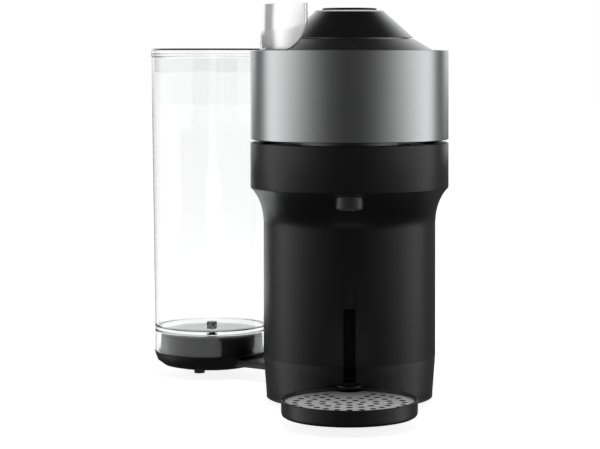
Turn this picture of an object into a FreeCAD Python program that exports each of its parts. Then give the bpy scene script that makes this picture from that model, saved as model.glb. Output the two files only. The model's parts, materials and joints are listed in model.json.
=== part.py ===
import FreeCAD, Part
import math
import operator
import os
import Sketcher

# Pod coffee machine with a lift-up brewing head and a swivelling water tank.
# Millimetres, +Z up, front towards -Y. The origin lies on the floor, on the
# axis about which the tank arm swivels, in the middle of the pivot pad.

doc = FreeCAD.newDocument("pod_coffee_machine")
sheet = doc.addObject("Spreadsheet::Sheet", "sizes")


# ---------------------------------------------------------------- sizes

class Size:
    """A number together with the sheet expression that gives it."""

    def __init__(self, value, text):
        self.value = value
        self.text = text

    def __float__(self):
        return float(self.value)

    def __neg__(self):
        return Size(-self.value, f"(-1 * {self.text})")

    def __add__(self, other):
        return joined(self, "+", other)

    def __radd__(self, other):
        return joined(other, "+", self)

    def __sub__(self, other):
        return joined(self, "-", other)

    def __rsub__(self, other):
        return joined(other, "-", self)

    def __mul__(self, other):
        return joined(self, "*", other)

    def __rmul__(self, other):
        return joined(other, "*", self)

    def __truediv__(self, other):
        return joined(self, "/", other)


OPERATIONS = {"+": operator.add, "-": operator.sub, "*": operator.mul, "/": operator.truediv}


def text_of(size):
    return size.text if isinstance(size, Size) else f"{size:.6g}"


def joined(left, sign, right):
    value = OPERATIONS[sign](float(left), float(right))
    return Size(value, f"({text_of(left)} {sign} {text_of(right)})")


def root(size):
    return Size(float(size) ** 0.5, f"sqrt({size.text})")


def size(name, value):
    """Put a driving dimension in the sheet and return it. One that follows another is put in as a formula."""
    size.row += 1
    follows = isinstance(value, Size)
    sheet.set(f"A{size.row}", "=" + value.text.replace("sizes.", "") if follows else str(value))
    sheet.setAlias(f"A{size.row}", name)
    return Size(float(value), f"sizes.{name}")


size.row = 0

# Brewing head
head_radius = size("head_radius", 71)
head_reach = size("head_reach", 113)
rim_height = size("rim_height", 261.5)
band_height = size("band_height", 63.8)
band_wall = size("band_wall", 2)
head_gap = size("head_gap", 2.2)
ring_height = size("ring_height", 32.2)
ring_wall = size("ring_wall", 5)
collar_rise = size("collar_rise", 7.9)
collar_top_radius = size("collar_top_radius", 46.3)
cone_rise = size("cone_rise", 19.8)
cone_top_radius = size("cone_top_radius", 24.6)
lever_radius = size("lever_radius", head_radius - 6.8)
lever_wall = size("lever_wall", 3.4)
lever_height = size("lever_height", 32.6)
lever_corner = size("lever_corner", 22)
lever_turned = size("lever_turned", -28.3)
button_radius = size("button_radius", 19.8)
button_travel = size("button_travel", 1.5)

# Column and base
column_radius = size("column_radius", 64.5)
column_length = size("column_length", 43.5)
column_wall = size("column_wall", 2.5)
neck_height = size("neck_height", 32.7)
neck_curve = size("neck_curve", 0.593)
seam_height = size("seam_height", 33)
base_draft = size("base_draft", 2.2)
base_lip = size("base_lip", 2.5)
foot_height = size("foot_height", 2)
cover_drop = size("cover_drop", 2.5)
gland_radius = size("gland_radius", 5)
gland_bore = size("gland_bore", 3.6)

# Tank, bowl and swivel arm
arm_length = size("arm_length", 133.6)
arm_angle = size("arm_angle", 146.6)
arm_width = size("arm_width", 40)
hub_radius = size("hub_radius", column_radius - 7)
hub_height = size("hub_height", 13.4)
boss_radius = size("boss_radius", 14)
tank_foot_radius = size("tank_foot_radius", 45.4)
tank_top_radius = size("tank_top_radius", 48.8)
tank_wall = size("tank_wall", 2.2)
tank_height = size("tank_height", 239.5)
tank_skirt = size("tank_skirt", 17.6)
bowl_rim = size("bowl_rim", 18.6)
bowl_radius = size("bowl_radius", 46.2)
valve_stem = size("valve_stem", 2.8)
hose_radius = size("hose_radius", 1.8)
arm_depth = size("arm_depth", 5)
bowl_low = size("bowl_low", 6.5)

# Cup support
tray_radius = size("tray_radius", 47.6)
tray_reach = size("tray_reach", tray_radius + 109)
tray_bottom = size("tray_bottom", 7.2)
tray_height = size("tray_height", 11.7)
tray_wall = size("tray_wall", 1.8)
slot_width = size("slot_width", 8.7)
slot_top = size("slot_top", 75)
grille_pitch = size("grille_pitch", 9.5)
grille_hole = size("grille_hole", 2.3)
grille_forward = size("grille_forward", 3)
grille_drop = size("grille_drop", 2.2)
grille_thickness = size("grille_thickness", 1)
nozzle_radius = size("nozzle_radius", 9.6)

# Brewing parts
holder_radius = size("holder_radius", 38)
cup_radius = size("cup_radius", 31.5)
belt_thickness = size("belt_thickness", 1.4)
pulley_radius = size("pulley_radius", 9)
motor_back = size("motor_back", 22)
motor_radius = size("motor_radius", 18)
pin_radius = size("pin_radius", 3)
container_half = size("container_half", 44)
container_low = size("container_low", 62)
container_high = size("container_high", 126)

# Clearances
apart = size("apart", 0.3)
running = size("running", 0.05)

doc.recompute()

# Heights and places that follow from the sizes
band_low = rim_height - band_height
ring_top = band_low - head_gap
ring_low = ring_top - ring_height
neck_low = ring_low - neck_height
head_y = -head_reach
column_y = -column_length
tray_y = -tray_reach
motor_y = -motor_back
base_radius = column_radius - base_draft
hub_low = foot_height + 1.5
hub_top = hub_low + hub_height
tank_floor = bowl_rim + 0.4 + tank_skirt
tank_low = bowl_rim + 0.4
tank_rim = tank_low + tank_height - 2.7
tray_top = tray_bottom + tray_height
deck_top = ring_top - 2.5
hinge_y = head_y + head_radius + 6
hinge_z = band_low + 1.3
knuckle = pin_radius + 2
gland_z = seam_height - 6.8
rail_front = column_y - column_radius + column_wall + base_draft + 0.3


# ---------------------------------------------------------------- modelling helpers

nodes = []


def bind(thing, name, value):
    thing.setExpression(name, text_of(value))


def place(thing, x=0, y=0, z=0):
    for axis, value in zip("xyz", (x, y, z)):
        bind(thing, f"Placement.Base.{axis}", value)


def body(name, x=0, y=0):
    """Start a sub-part whose own axis stands over the point x, y of the floor."""
    part = doc.addObject("PartDesign::Body", name)
    part.Label = name
    place(part, x, y)
    nodes.append(part)
    return part


class Line:
    """A corner of an outline, with a straight edge to the next corner."""

    def __init__(self, x, y):
        self.x, self.y = x, y


class Arc(Line):
    """A corner of an outline, with an arc about cx, cy to the next corner."""

    def __init__(self, x, y, cx, cy, turn=1):
        super().__init__(x, y)
        self.cx, self.cy, self.turn = cx, cy, turn


class Circle:
    def __init__(self, x, y, radius):
        self.x, self.y, self.radius = x, y, radius


def point(x, y):
    return FreeCAD.Vector(float(x), float(y), 0)


def constrain(drawn, kind, *where):
    *places, value = where
    index = drawn.addConstraint(Sketcher.Constraint(kind, *places, float(value)))
    drawn.setExpression(f"Constraints[{index}]", text_of(value))


def arc_middle(start, end, centre, turn):
    """The point half-way along the arc, anticlockwise when turn is 1."""
    chord = end - start
    out = FreeCAD.Vector(chord.y, -chord.x, 0) * turn
    out.normalize()
    return centre + out * (start - centre).Length


def draw_outline(drawn, corners):
    first = len(drawn.Geometry)
    count = len(corners)
    for this, following in zip(corners, corners[1:] + corners[:1]):
        start, end = point(this.x, this.y), point(following.x, following.y)
        if isinstance(this, Arc):
            middle = arc_middle(start, end, point(this.cx, this.cy), this.turn)
            drawn.addGeometry(Part.Arc(start, middle, end))
        else:
            drawn.addGeometry(Part.LineSegment(start, end))
    ends = []
    for number, corner in enumerate(corners):
        turned = isinstance(corner, Arc) and corner.turn < 0
        ends.append((2, 1) if turned else (1, 2))
    for number in range(count):
        follows = (number + 1) % count
        drawn.addConstraint(Sketcher.Constraint(
            "Coincident", first + number, ends[number][1], first + follows, ends[follows][0]))
    for number, corner in enumerate(corners):
        edge = first + number
        constrain(drawn, "DistanceX", -1, 1, edge, ends[number][0], corner.x)
        constrain(drawn, "DistanceY", -1, 1, edge, ends[number][0], corner.y)
        if isinstance(corner, Arc):
            following = corners[(number + 1) % count]
            chord = point(following.x, following.y) - point(corner.x, corner.y)
            if abs(chord.y) > abs(chord.x):
                constrain(drawn, "DistanceX", -1, 1, edge, 3, corner.cx)
            else:
                constrain(drawn, "DistanceY", -1, 1, edge, 3, corner.cy)


def draw_circle(drawn, circle):
    centre = point(circle.x, circle.y)
    edge = drawn.addGeometry(Part.Circle(centre, FreeCAD.Vector(0, 0, 1), float(circle.radius)))
    constrain(drawn, "DistanceX", -1, 1, edge, 3, circle.x)
    constrain(drawn, "DistanceY", -1, 1, edge, 3, circle.y)
    constrain(drawn, "Radius", edge, circle.radius)


def sketch(part, role, loops, lift=0):
    """Draw closed loops on one of the body's own planes, raised by lift."""
    drawn = part.newObject("Sketcher::SketchObject", f"{part.Name}_sketch")
    plane = [one for one in part.Origin.OriginFeatures if one.Role == role][0]
    drawn.AttachmentSupport = [(plane, "")]
    drawn.MapMode = "FlatFace"
    bind(drawn, "AttachmentOffset.Base.z", lift)
    for loop in loops:
        if isinstance(loop, Circle):
            draw_circle(drawn, loop)
        else:
            draw_outline(drawn, loop)
    return drawn


def cut_something(part, before):
    doc.recompute()
    if part.Shape.Volume > before - 0.01:
        raise ValueError(f"{part.Label}: a cut removed nothing")


def pad(part, loops, low, high):
    feature = part.newObject("PartDesign::Pad", f"{part.Name}_pad")
    feature.Profile = sketch(part, "XY_Plane", loops, low)
    bind(feature, "Length", high - low)
    doc.recompute()


def pocket(part, loops, low, high):
    before = part.Shape.Volume
    feature = part.newObject("PartDesign::Pocket", f"{part.Name}_pocket")
    feature.Profile = sketch(part, "XY_Plane", loops, high)
    bind(feature, "Length", high - low)
    cut_something(part, before)


def turn(part, *loops):
    """Revolve loops of (radius, height) about the body's own axis."""
    feature = part.newObject("PartDesign::Revolution", f"{part.Name}_turned")
    feature.Profile = sketch(part, "XZ_Plane", loops)
    feature.ReferenceAxis = (feature.Profile[0], ["V_Axis"])
    feature.Angle = 360
    doc.recompute()


def corners(*pairs):
    return [Line(x, y) for x, y in pairs]


def tube_profile(inner, outer, low, high):
    return corners((inner, low), (outer, low), (outer, high), (inner, high))


def box(part, kind, low, high):
    """Add or cut a box between two opposite corners."""
    before = part.Shape.Volume if kind == "Subtractive" else 0
    feature = part.newObject(f"PartDesign::{kind}Box", f"{part.Name}_box")
    for name, start, end in zip(("Length", "Width", "Height"), low, high):
        bind(feature, name, end - start)
    place(feature, *low)
    if kind == "Subtractive":
        cut_something(part, before)
    doc.recompute()


def rod(part, kind, start, length, radius, along="z"):
    """Add or cut a cylinder that runs along an axis from its start point."""
    before = part.Shape.Volume if kind == "Subtractive" else 0
    feature = part.newObject(f"PartDesign::{kind}Cylinder", f"{part.Name}_rod")
    bind(feature, "Radius", radius)
    bind(feature, "Height", length)
    axis, angle = {"x": ((0, 1, 0), 90), "y": ((1, 0, 0), -90), "z": ((0, 0, 1), 0)}[along]
    turned = FreeCAD.Rotation(FreeCAD.Vector(*axis), angle)
    feature.Placement = FreeCAD.Placement(FreeCAD.Vector(), turned)
    place(feature, *start)
    if kind == "Subtractive":
        cut_something(part, before)
    doc.recompute()


def tube(name, x, y, inner, outer, low, high):
    """A plain ring, sleeve or disc, standing on its own axis."""
    part = body(name, x, y)
    loops = [Circle(0, 0, outer)]
    if float(inner) > 0:
        loops.append(Circle(0, 0, inner))
    pad(part, loops, low, high)
    return part


def block(name, low, high):
    part = body(name)
    box(part, "Additive", low, high)
    return part


def stadium(radius, front=column_y, back=0):
    """Two half-circles of one radius, joined by straight sides."""
    return [
        Arc(-radius, front, 0, front),
        Line(radius, front),
        Arc(radius, back, 0, back),
        Line(-radius, back),
    ]


def hull(front, front_radius, back, back_radius):
    """Two circles of different radius on the Y axis, joined by their tangents."""
    lean = (front_radius - back_radius) / (back - front)
    across = root(1 - lean * lean)
    return [
        Arc(-front_radius * across, front + front_radius * lean, 0, front),
        Line(front_radius * across, front + front_radius * lean),
        Arc(back_radius * across, back + back_radius * lean, 0, back),
        Line(-back_radius * across, back + back_radius * lean),
    ]


def loft(part, kind, sections):
    """Loft through outlines given as (height, loop)."""
    before = part.Shape.Volume if kind == "Subtractive" else 0
    drawn = [sketch(part, "XY_Plane", [loop], height) for height, loop in sections]
    feature = part.newObject(f"PartDesign::{kind}Loft", f"{part.Name}_loft")
    feature.Profile = drawn[0]
    feature.Sections = drawn[1:]
    doc.recompute()
    if kind == "Subtractive":
        cut_something(part, before)


def group(name, pieces):
    """One node that holds several equal, separate solids."""
    compound = doc.addObject("Part::Compound", name)
    compound.Links = pieces
    compound.Label = name
    nodes.append(compound)


def cylinder(name, x, y, low, high, radius):
    piece = doc.addObject("Part::Cylinder", name)
    bind(piece, "Radius", radius)
    bind(piece, "Height", high - low)
    place(piece, x, y, low)
    return piece


def coil(name, x, y, low, high, radius, wire, pitch):
    """A compression spring of round wire."""
    spine = doc.addObject("Part::Helix", f"{name}_line")
    bind(spine, "Pitch", pitch)
    bind(spine, "Height", high - low)
    bind(spine, "Radius", radius)
    spine.SegmentLength = 1
    section = doc.addObject("Part::Circle", f"{name}_wire")
    bind(section, "Radius", wire)
    section.Placement.Rotation = FreeCAD.Rotation(FreeCAD.Vector(1, 0, 0), 90)
    bind(section, "Placement.Base.x", radius)
    spring = doc.addObject("Part::Sweep", name)
    spring.Sections = [section]
    spring.Spine = (spine, [])
    spring.Solid = True
    spring.Frenet = True
    spring.Label = name
    place(spring, x, y, low)
    nodes.append(spring)
    doc.recompute()


def hose(name, route, radius, bend):
    """A hose of straight runs joined by tangent arcs of one bend radius."""
    stops = [FreeCAD.Vector(*(float(value) for value in stop)) for stop in route]
    edges = []
    start = stops[0]
    for before, corner, after in zip(stops, stops[1:], stops[2:]):
        arrive = (corner - before).normalize()
        leave = (after - corner).normalize()
        inward = (leave - arrive).normalize()
        centre = corner + inward * (bend * 2 ** 0.5)
        first, last = corner - arrive * bend, corner + leave * bend
        middle = centre - inward * bend
        edges.append(Part.LineSegment(start, first).toShape())
        edges.append(Part.Arc(first, middle, last).toShape())
        start = last
    edges.append(Part.LineSegment(start, stops[-1]).toShape())
    spine = Part.Wire(edges)
    direction = (stops[1] - stops[0]).normalize()
    section = Part.Wire([Part.makeCircle(float(radius), stops[0], direction)])
    made = doc.addObject("Part::Feature", name)
    made.Shape = spine.makePipeShell([section], True, True)
    made.Label = name
    nodes.append(made)


def along(length, angle, function):
    """A length times the cosine or sine of an angle in degrees."""
    share = {"cos": math.cos, "sin": math.sin}[function](math.radians(float(angle)))
    return Size(float(length) * share, f"({length.text} * {function}({angle.text} * 1 deg))")


hose_z = hub_top - 4
tank_x = along(arm_length, arm_angle, "cos")
tank_y = along(arm_length, arm_angle, "sin")


# ---------------------------------------------------------------- base and column

def make_base_plate():
    part = body("base_plate")
    pad(part, [stadium(base_radius)], foot_height, foot_height + base_lip)
    pocket(part, [Circle(0, 0, hub_radius + 1)], foot_height, foot_height + base_lip)
    box(part, "Subtractive", (-2 * column_radius, -20, 0),
        (2 * column_radius, 2 * column_radius, seam_height))


def make_base_shell():
    part = body("base_shell")
    low = foot_height + base_lip
    loft(part, "Additive", [(low, stadium(base_radius)), (seam_height, stadium(column_radius))])
    loft(part, "Subtractive", [
        (low, stadium(base_radius - column_wall)),
        (seam_height, stadium(column_radius - column_wall))])
    box(part, "Subtractive", (-2 * column_radius, -1, 0),
        (2 * column_radius, 2 * column_radius, hub_top + apart))
    pad(part, [Circle(0, 0, base_radius - 1)], hub_top + apart, hub_top + apart + 2.5)
    pad(part, [Circle(0, 0, boss_radius)], foot_height + 1.2, hub_top + apart)
    half = slot_width / 2
    box(part, "Subtractive", (-half, -2 * column_radius, 8),
        (half, -column_radius, seam_height))
    rod(part, "Subtractive", (0, column_radius - 10, gland_z), 20, gland_radius, "y")


def make_cord_gland():
    part = body("cord_gland", 0, column_radius)
    rod(part, "Additive", (0, -6, gland_z), 7, gland_radius, "y")
    rod(part, "Additive", (0, -6, gland_z), 2, gland_radius + 1.3, "y")
    rod(part, "Subtractive", (0, -7, gland_z), 10, gland_bore, "y")


def make_pivot():
    tube("pivot_plate", 0, 0, 0, boss_radius + 10, foot_height - 0.3, foot_height + 1.2)
    tube("pivot_pad", 0, 0, 0, boss_radius + 2, 0, foot_height - 0.3)
    feet = [cylinder(f"foot_{side}", x, -70, 0, foot_height, 9)
            for side, x in (("left", -32), ("right", 32))]
    group("front_feet", feet)


def neck_sections(inset):
    """Outlines from the column up to the head, on a curve that steepens outwards."""
    sections = []
    flat = root(1 - neck_curve * neck_curve)
    for step in range(5):
        share = step / 4
        rise = (1 - root(1 - neck_curve * neck_curve * share * share)) / (1 - flat)
        front = column_y + (head_y - column_y) * rise
        radius = column_radius + (head_radius - column_radius) * rise
        loop = hull(front, radius - inset, 0, column_radius - inset)
        sections.append((neck_low + neck_height * share, loop))
    return sections


def make_column():
    part = body("column_shell")
    pad(part, [stadium(column_radius)], seam_height, neck_low)
    loft(part, "Additive", neck_sections(0))
    pocket(part, [stadium(column_radius - column_wall)], seam_height, neck_low)
    loft(part, "Subtractive", neck_sections(column_wall))
    half = slot_width / 2
    box(part, "Subtractive", (-half, -2 * column_radius, seam_height), (half, -column_radius, slot_top))
    window = container_half + apart
    box(part, "Subtractive", (-window, 10, container_low - apart),
        (window, 2 * column_radius, container_high + apart))
    rod(part, "Subtractive", (0, tray_y, neck_low), neck_height, nozzle_radius)


def make_rear_cover():
    part = body("rear_cover")
    top = ring_top - cover_drop
    pad(part, [stadium(column_radius)], ring_low, top)
    pocket(part, [stadium(column_radius - column_wall)], ring_low, top - column_wall)
    pocket(part, [Circle(0, head_y, head_radius + apart)], ring_low, top)


def make_slot_rail():
    part = body("slot_rail")
    half = slot_width / 2 + 0.2
    low = foot_height + base_lip
    for side in (-1, 1):
        inner, outer = half * side, (half + 3) * side
        left, right = (inner, outer) if side > 0 else (outer, inner)
        box(part, "Additive", (left, rail_front, low), (right, rail_front + 8, slot_top + 4))
        if side < 0:
            box(part, "Additive", (left, rail_front, slot_top), (half + 3, rail_front + 8, slot_top + 4))


def make_head_ring():
    part = body("head_ring", 0, head_y)
    inner = head_radius - ring_wall
    turn(part, tube_profile(inner, head_radius, ring_low, ring_top))
    box(part, "Subtractive", (-24, 40, ring_low), (24, 2 * head_radius, ring_low + 14))


def make_head_chassis():
    part = body("head_chassis", 0, head_y)
    floor = ring_low + 0.3
    pad(part, [Circle(0, 0, head_radius - ring_wall), Circle(0, tray_y - head_y, 3)], floor, floor + 3)


def make_head_deck():
    part = body("head_deck", 0, head_y)
    bore = holder_radius + 6
    turn(part, corners(
        (bore, deck_top - 15), (bore + 4, deck_top - 15), (bore + 4, deck_top - 3),
        (head_radius - ring_wall, deck_top - 3), (head_radius - ring_wall, deck_top),
        (bore, deck_top)))


def make_coffee_trough():
    part = body("coffee_trough", 0, head_y)
    floor = ring_low + 3.3
    turn(part, corners(
        (holder_radius + 5, floor), (60, floor), (60, floor + 9), (58.4, floor + 9),
        (58.4, floor + 1.5), (holder_radius + 5, floor + 1.5)))
    box(part, "Subtractive", (-head_radius, 0, ring_low), (head_radius, head_radius, ring_top))
    rod(part, "Subtractive", (0, tray_y - head_y, ring_low), 10, 3)


def make_nozzle():
    part = body("nozzle", 0, tray_y)
    low = neck_low + 19.5
    soft = 2.5
    turn(part, [
        Line(2.6, low), Arc(nozzle_radius - soft, low, nozzle_radius - soft, low + soft),
        Line(nozzle_radius, low + soft), Line(nozzle_radius, ring_low + 0.3), Line(2.6, ring_low + 0.3)])


# ---------------------------------------------------------------- capsule drive

def make_holder():
    tube("holder_bearing", 0, head_y, holder_radius + running, holder_radius + 6,
         deck_top - 13, deck_top - 5)
    part = body("capsule_holder", 0, head_y)
    low = ring_low + 4.2
    turn(part, corners(
        (4, low), (holder_radius + 2, low), (holder_radius + 2, low + 6.5),
        (holder_radius, low + 6.5), (holder_radius, deck_top - 2.5),
        (holder_radius + 5.2, deck_top - 2.5), (holder_radius + 5.2, deck_top + 0.5),
        (cup_radius, deck_top + 0.5), (cup_radius, low + 3), (4, low + 3)))


def make_drive():
    low = ring_low + 4.7
    inner, outer = 2 + 0.2, 2 + 0.2 + belt_thickness
    belt = body("drive_belt")
    pad(belt, [
        hull(head_y, holder_radius + outer, motor_y, pulley_radius + outer - 2),
        hull(head_y, holder_radius + inner, motor_y, pulley_radius + inner - 2)], low, low + 5)
    tube("motor_pulley", 0, motor_y, 2, pulley_radius, low - 0.5, low + 6)
    bracket = body("motor_bracket")
    top = ring_low - 0.3
    half = column_radius - column_wall
    box(bracket, "Additive", (-half, motor_y - 19, top - 3), (half, motor_y + 19, top))
    rod(bracket, "Subtractive", (0, motor_y, top - 10), 20, 5)
    tube("motor", 0, motor_y, 2 + running, motor_radius, top - 35, top - 3)
    tube("motor_shaft", 0, motor_y, 0, 2, top - 30, low + 7)


# ---------------------------------------------------------------- moving head

def make_head_band():
    part = body("head_band", 0, head_y)
    inner = head_radius - band_wall
    turn(part, corners(
        (inner, band_low), (head_radius, band_low), (head_radius, rim_height),
        (head_radius - 5, rim_height), (head_radius - 5, rim_height - 2), (inner, rim_height - 2)))
    box(part, "Subtractive", (-20.6, 0, band_low + 3.2), (20.6, 2 * head_radius, band_low + 9.2))


def make_head_inner():
    part = body("head_inner", 0, head_y)
    low = band_low + 0.5
    turn(part, corners(
        (14, low), (head_radius - band_wall, low), (head_radius - band_wall, low + 3),
        (17, low + 3), (17, low + 28), (14, low + 28)))


def make_head_arm():
    part = body("head_arm")
    low = band_low + 3.5
    box(part, "Additive", (-20, head_y + 43, low), (20, hinge_y, low + 5))
    rod(part, "Additive", (-20, hinge_y, hinge_z), 40, knuckle, "x")
    rod(part, "Subtractive", (-30, hinge_y, hinge_z), 60, pin_radius + running, "x")


def make_hinge():
    top = ring_top - cover_drop
    part = body("hinge_bracket")
    box(part, "Additive", (-27, hinge_y + knuckle + apart, top), (27, hinge_y + 26, top + 2.5))
    for low, high in ((-27, -20.7), (20.7, 27)):
        box(part, "Additive", (low, hinge_y - knuckle, top), (high, hinge_y + knuckle + 3, top + 5))
        rod(part, "Additive", (low, hinge_y, hinge_z), high - low, knuckle, "x")
    rod(part, "Subtractive", (-40, hinge_y, hinge_z), 80, pin_radius, "x")
    for x in (-18, 18):
        rod(part, "Subtractive", (x, hinge_y + 16, top - 5), 20, 1.6)
    pin = body("hinge_pin")
    rod(pin, "Additive", (-27, hinge_y, hinge_z), 54, pin_radius, "x")
    screws = []
    for side, x in (("left", -18), ("right", 18)):
        screws.append(cylinder(f"hinge_screw_{side}", x, hinge_y + 16, top + 2.5, top + 4.5, 3))
    group("hinge_screws", screws)


def make_head_top():
    collar = body("head_collar", 0, head_y)
    foot = head_radius - 11.3
    low = rim_height - 7.5
    high = rim_height + collar_rise
    seat = collar_top_radius - 2.4
    turn(collar, corners(
        (foot - 2, low), (head_radius - band_wall, low), (head_radius - band_wall, low + 2),
        (foot, low + 2), (foot, rim_height), (collar_top_radius, high), (seat, high),
        (seat, high - 2), (collar_top_radius - 0.8, high - 2), (foot - 2, rim_height - 1.2)))
    cone = body("head_cone", 0, head_y)
    base = high + 0.6
    tip = high + cone_rise
    turn(cone, corners(
        (seat - 2, high - 6), (seat, high - 6), (seat, base), (collar_top_radius - 0.2, base),
        (33, high + 12.4), (cone_top_radius, tip), (cone_top_radius, tip - 2.6),
        (32, high + 9.6), (seat - 2, base)))


def make_lever():
    low = rim_height - 5
    tube("lever_ring", 0, head_y, head_radius - 11, head_radius - 5.3, low, rim_height - 0.3)
    part = body("lever", 0, head_y)
    part.setExpression("Placement.Rotation.Angle", f"{lever_turned.text} * 1 deg")
    pad(part, [Circle(0, 0, lever_radius), Circle(0, 0, lever_radius - lever_wall)],
        rim_height - 0.3, rim_height + lever_height)
    wide = 2 * head_radius
    box(part, "Subtractive", (-wide, 0, 0), (wide, wide, 2 * rim_height))
    box(part, "Subtractive", (0, -wide, 0), (wide, wide, 2 * rim_height))
    low = rim_height - 0.3
    before = part.Shape.Volume
    rounding = part.newObject("PartDesign::Pocket", "lever_corner_cut")
    rounding.Profile = sketch(part, "XZ_Plane", [[
        Arc(-lever_corner, low, -lever_corner, low + lever_corner),
        Line(0, low + lever_corner), Line(0, low)]])
    rounding.Type = "ThroughAll"
    rounding.Midplane = True
    cut_something(part, before)


def make_button():
    tip = rim_height + collar_rise + cone_rise
    tube("button_ring", 0, head_y, button_radius + 0.4, cone_top_radius, tip - 2.6, tip + 0.6)
    part = body("start_button", 0, head_y)
    turn(part, corners((0, tip - 14), (4, tip - 14), (4, tip - 4), (button_radius, tip - 4),
                       (button_radius, tip + 1.4), (button_radius - 1, tip + 2.4), (0, tip + 2.4)))
    board_top = rim_height + 4.6
    seat = collar_top_radius - 2.4
    switch_top = tip - 14 - button_travel - apart
    board = body("button_board", 0, head_y)
    turn(board, corners((0, board_top - 1.6), (seat - 2, board_top - 1.6), (seat - 2, board_top),
                        (4.5, board_top), (4.5, switch_top), (0, switch_top)))
    coil("button_spring", 0, head_y, board_top + 0.6, tip - 4.6, 8, 0.5, 4.4)


def make_clamp():
    disc_low = ring_top - 1.3
    tube("clamp_bearing", 0, head_y, 8 + running, 14, band_low + 16, band_low + 24)
    part = body("clamp_disc", 0, head_y)
    turn(part, corners((0, disc_low - 6), (1.5, disc_low), (40, disc_low), (40, disc_low + 3),
                       (8, disc_low + 3), (8, band_low + 32), (0, band_low + 32)))
    tube("clamp_seal", 0, head_y, cup_radius - 1, 36, disc_low - 0.5, disc_low)
    inlet = body("water_inlet", 0, head_y)
    low = band_low + 28.5
    turn(inlet, corners((9, low), (17, low), (17, low + 14), (0, low + 14), (0, low + 8), (9, low + 8)))
    hose("head_hose", [(0, head_y + 17, low + 11), (0, head_y + 52, low + 11),
                       (0, head_y + 52, band_low + 8.5)], 3, 8)


# ---------------------------------------------------------------- cup support

def make_cup_support():
    part = body("drip_tray", 0, tray_y)
    soft = 3
    inner = tray_radius - tray_wall
    seat = tray_top - grille_drop - grille_thickness - 0.1
    turn(part, [
        Line(0, tray_bottom), Arc(tray_radius - soft, tray_bottom, tray_radius - soft, tray_bottom + soft),
        Line(tray_radius, tray_bottom + soft), Line(tray_radius, tray_top), Line(inner, tray_top),
        Line(inner, seat), Line(inner - 1, seat - 0.8), Line(inner - 1, tray_bottom + 2),
        Line(0, tray_bottom + 2)])
    bracket = body("tray_bracket")
    half = slot_width / 2 - apart
    back = tray_y + tray_radius
    box(bracket, "Additive", (-half, back, tray_bottom + 1.8), (half, rail_front + 14, tray_top + 3))
    box(bracket, "Additive", (-8.5, rail_front + 8.4, tray_bottom + 1.8),
        (8.5, rail_front + 14, tray_top + 5))
    pad(bracket, [[Arc(-8.8, back + 0.3, 0, back + 0.3), Line(8.8, back + 0.3)]],
        tray_top, tray_top + 1.6)


def make_grille():
    """A perforated disc: rings of holes, seven more in each ring outwards."""
    part = body("drip_grille", 0, tray_y)
    radius = tray_radius - tray_wall - apart
    top = tray_top - grille_drop
    holes = [Circle(0, -grille_forward, grille_hole)]
    for ring in range(1, 5):
        for place_in_ring in range(7 * ring):
            angle = math.tau * place_in_ring / (7 * ring)
            x = grille_pitch * (ring * math.sin(angle))
            y = grille_pitch * (-ring * math.cos(angle)) - grille_forward
            under_support = float(y) > 25 and abs(float(x)) < 16
            inside = math.hypot(float(x), float(y)) < float(radius - grille_hole - 1)
            if inside and not under_support:
                holes.append(Circle(x, y, grille_hole))
    pad(part, [Circle(0, 0, radius)] + holes, top - grille_thickness, top)
    pocket(part, [Circle(0, tray_radius + 0.3, 9.6)], top - grille_thickness, top)


# ---------------------------------------------------------------- tank and arm

def make_swivel_arm():
    part = body("swivel_arm", tank_x, tank_y)
    part.setExpression("Placement.Rotation.Angle", f"{arm_angle.text} * 1 deg")
    low = hub_low
    wall = 2.5
    pad(part, [Circle(-arm_length, 0, hub_radius)], low, hub_top)
    half = arm_width / 2
    bar_top = hub_top - 1
    box(part, "Additive", (-arm_length + 20, -half, bar_top - arm_depth), (-bowl_radius + 8, half, bar_top))
    pocket(part, [Circle(-arm_length, 0, hub_radius - wall)], low, hub_top - wall)
    box(part, "Subtractive", (-arm_length + 20, -half + wall, low),
        (-bowl_radius + 3, half - wall, bar_top - 0.9))
    pad(part, [Circle(-arm_length, 0, boss_radius + 4)], low, hub_top - wall)
    rise = bowl_rim - bowl_low
    turn(part, corners(
        (0, bowl_low), (30, bowl_low), (38.5, bowl_low + rise * 0.15), (43.8, bowl_low + rise * 0.48),
        (bowl_radius, bowl_rim), (bowl_radius - 2, bowl_rim), (41.8, bowl_low + 0.9 + rise * 0.52),
        (37.4, bowl_low + 1.8 + rise * 0.17), (29.6, bowl_low + 2), (0, bowl_low + 2)))
    rod(part, "Subtractive", (-bowl_radius - 2, 0, hose_z), 14, hose_radius + 0.1, "x")
    pocket(part, [Circle(-arm_length, 0, boss_radius + running)], low, hub_top)


def make_tank_base():
    pedestal = body("tank_pedestal", tank_x, tank_y)
    top = tank_floor - 5.8
    floor = bowl_low + 2
    turn(pedestal, corners(
        (9, floor), (28.4, floor), (41.4, bowl_rim), (40.8, top + 1.3), (39.4, top + 2.7), (33, top + 2.7),
        (31, top), (9, top), (9, top - 2), (30, top - 2), (32, top + 0.7), (38.7, top + 0.7),
        (39.3, bowl_rim), (27.6, floor + 2), (9, floor + 2)))
    tube("inlet_socket", tank_x, tank_y, 3, 9, floor, top)
    tube("inlet_seal", tank_x, tank_y, 3.4, 7, top, top + 2)
    tube("arm_foot", tank_x - 10, tank_y, 0, 4.3, 0, bowl_low)
    start = (tank_x * 0.69, tank_y * 0.69, hose_z)
    end = (tank_x * 0.2, tank_y * 0.2, hose_z)
    hose("arm_hose", [start, end], hose_radius, 4)


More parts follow.
